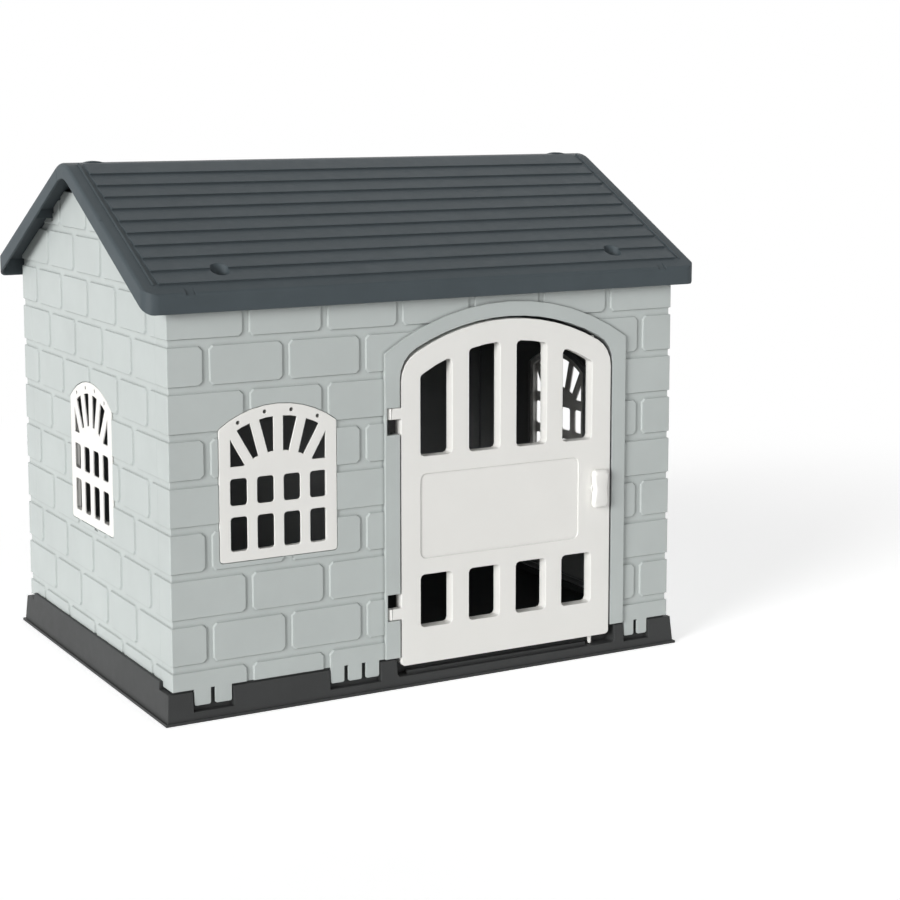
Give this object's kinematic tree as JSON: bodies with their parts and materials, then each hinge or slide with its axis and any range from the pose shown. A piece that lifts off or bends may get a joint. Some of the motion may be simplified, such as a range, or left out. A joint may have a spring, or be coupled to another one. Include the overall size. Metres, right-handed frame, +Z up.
{
  "type": "dog house",
  "caption": "Flat-pack plastic dog house with brick-pattern walls, planked gable roof, arched grille windows and a hinged arched door with a quarter-turn latch.",
  "frame": {"origin": "centre of the footprint of the whole house, on the ground under the base flange", "axes": "+X along the long front towards the right gable, +Y from the door side to the rear, +Z up; the front with the door faces -Y"},
  "size_m": [0.8686, 0.639, 0.736],
  "materials": {
    "wall_plastic": "pale grey moulded polypropylene, fine satin grain",
    "roof_plastic": "dark slate-grey moulded polypropylene, satin",
    "base_plastic": "charcoal moulded polypropylene, satin",
    "white_plastic": "white moulded polypropylene, soft gloss",
    "steel": "zinc-plated steel"
  },
  "bodies": {
    "house": {"base_tray": "base_plastic", "front_panel": "wall_plastic", "rear_panel": "wall_plastic", "left_gable_panel": "wall_plastic", "right_gable_panel": "wall_plastic", "front_window_grille": "white_plastic", "left_window_grille": "white_plastic", "right_window_grille": "white_plastic", "roof_front_half": "roof_plastic", "roof_rear_half": "roof_plastic", "roof_screw_front_left": "steel", "roof_screw_front_right": "steel", "roof_screw_rear_left": "steel", "roof_screw_rear_right": "steel", "wall_screw_left_front_low": "steel", "wall_screw_left_front_high": "steel", "wall_screw_left_rear_low": "steel", "wall_screw_left_rear_high": "steel", "wall_screw_right_front_low": "steel", "wall_screw_right_front_high": "steel", "wall_screw_right_rear_low": "steel", "wall_screw_right_rear_high": "steel"},
    "door": {"door_panel": "white_plastic", "upper_hinge_pin": "steel", "lower_hinge_pin": "steel"},
    "latch": {"latch_grip": "white_plastic", "latch_cam": "white_plastic"},
    "upper_rod": {"upper_latch_rod": "white_plastic"},
    "lower_rod": {"lower_latch_rod": "white_plastic"}
  },
  "joints": [
    {"name": "door_hinge", "type": "hinge", "parent": "house", "child": "door", "pos_m": [-0.0725, -0.299, 0.2475], "axis": [0, 0, -1], "range_deg": [0, 100]},
    {"name": "latch_turn", "type": "hinge", "parent": "door", "child": "latch", "pos_m": [0.266, -0.3045, 0.2537], "axis": [0, -1, 0], "range_deg": [0, 90]},
    {"name": "upper_rod_slide", "type": "slide", "parent": "door", "child": "upper_rod", "axis": [0, 0, 1], "range_m": [0, 0.008]},
    {"name": "lower_rod_slide", "type": "slide", "parent": "door", "child": "lower_rod", "axis": [0, 0, -1], "range_m": [0, 0.008]}
  ],
  "couplings": [
    {"joint": "upper_rod_slide", "follows": "latch_turn", "m_per_rad": 0.00509},
    {"joint": "lower_rod_slide", "follows": "latch_turn", "m_per_rad": 0.00509}
  ]
}
